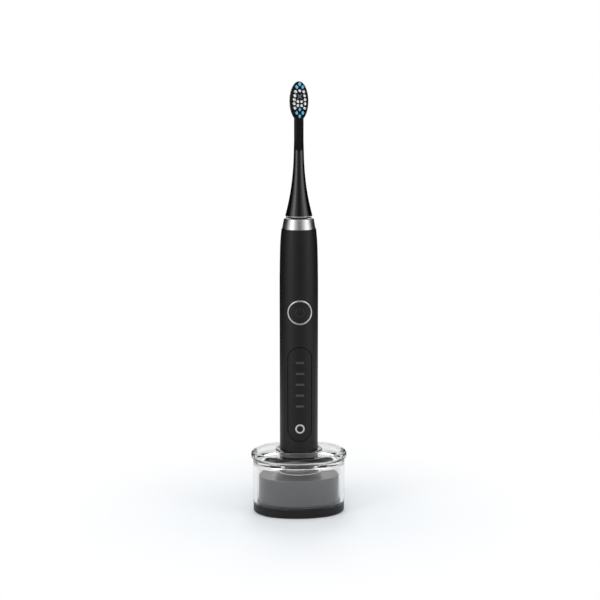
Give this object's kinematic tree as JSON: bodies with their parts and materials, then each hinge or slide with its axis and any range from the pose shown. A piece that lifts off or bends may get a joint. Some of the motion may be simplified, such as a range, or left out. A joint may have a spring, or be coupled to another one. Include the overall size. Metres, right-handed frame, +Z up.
{
  "type": "electric toothbrush on charger",
  "caption": "Slim electric toothbrush with a bristled oval head and a round button, standing in the pocket of a clear lift-off holder over a low oval charging base.",
  "frame": {"origin": "on the ground under the middle of the charging base", "axes": "+Z up along the brush, -Y towards the front with the button, window and bristles, +X to the right"},
  "size_m": [0.0632, 0.0482, 0.2813],
  "materials": {
    "white_bristle": "nylon filament",
    "blue_bristle": "nylon filament",
    "cross_rubber": "soft matt",
    "head_plastic": "satin gloss",
    "ring_plastic": "chrome plated",
    "shell_plastic": "soft satin",
    "window_plastic": "satin gloss",
    "lamp_plastic": "smoked",
    "charge_plastic": "milky",
    "bright_metal": "polished",
    "collar_metal": "polished",
    "clear_plastic": "clear gloss",
    "base_plastic": "satin gloss",
    "inner_plastic": "moulded",
    "steel": "ground",
    "bronze": "sintered",
    "copper": "enamelled wire",
    "ferrite": "matt",
    "magnet": "nickel plated",
    "cell_wrap": "shrink sleeve on a steel can",
    "board": "solder mask",
    "chip": "moulded",
    "black_rubber": "matt"
  },
  "bodies": {
    "charger_base": {"base_tray": "base_plastic", "foot_pad": "black_rubber", "cable_gland": "black_rubber", "charger_block": "base_plastic", "charger_screws": "steel", "charger_board": "board", "charger_chips": "chip", "coil_carrier": "inner_plastic", "charger_core": "ferrite", "charger_coil": "copper"},
    "holder": {"clear_holder": "clear_plastic"},
    "handle": {"handle_shell": "shell_plastic", "bottom_cap": "shell_plastic", "bottom_seal": "black_rubber", "receiver_core": "ferrite", "receiver_coil": "copper", "button_ring": "bright_metal", "press_switch": "chip", "mode_window": "window_plastic", "charge_ring": "charge_plastic", "light_guide": "lamp_plastic", "inner_frame": "inner_plastic", "battery_cell": "cell_wrap", "battery_tabs": "steel", "circuit_board": "board", "board_parts": "chip", "board_screws": "steel", "motor_can": "steel", "motor_end_plate": "steel", "upper_bearing": "bronze", "lower_bearing": "bronze", "stator_core": "ferrite", "stator_coil": "copper", "metal_collar": "collar_metal", "nose_cap": "shell_plastic", "shaft_seal": "black_rubber"},
    "button": {"power_button": "window_plastic"},
    "drive": {"drive_shaft": "steel", "rotor_hub": "steel", "rotor_magnets": "magnet"},
    "brush_head": {"brush_head_body": "head_plastic", "head_ring": "ring_plastic", "shaft_sleeve": "steel", "white_tufts": "white_bristle", "blue_tufts": "blue_bristle", "polishing_cross": "cross_rubber"}
  },
  "joints": [
    {"name": "holder_lift", "type": "slide", "parent": "charger_base", "child": "holder", "axis": [0, 0, 1], "range_m": [0, 0.045]},
    {"name": "handle_lift", "type": "slide", "parent": "holder", "child": "handle", "axis": [0, 0, 1], "range_m": [0, 0.06]},
    {"name": "button_press", "type": "slide", "parent": "handle", "child": "button", "axis": [0, 1, 0], "range_m": [0, 0.0005], "stiffness_N_per_m": 1200},
    {"name": "shaft_sweep", "type": "hinge", "parent": "handle", "child": "drive", "pos_m": [0, 0, 0.16], "axis": [0, 0, 1], "range_deg": [-5, 5], "stiffness_Nm_per_rad": 0.02},
    {"name": "head_pull", "type": "slide", "parent": "drive", "child": "brush_head", "axis": [0, 0, 1], "range_m": [0, 0.035]}
  ]
}
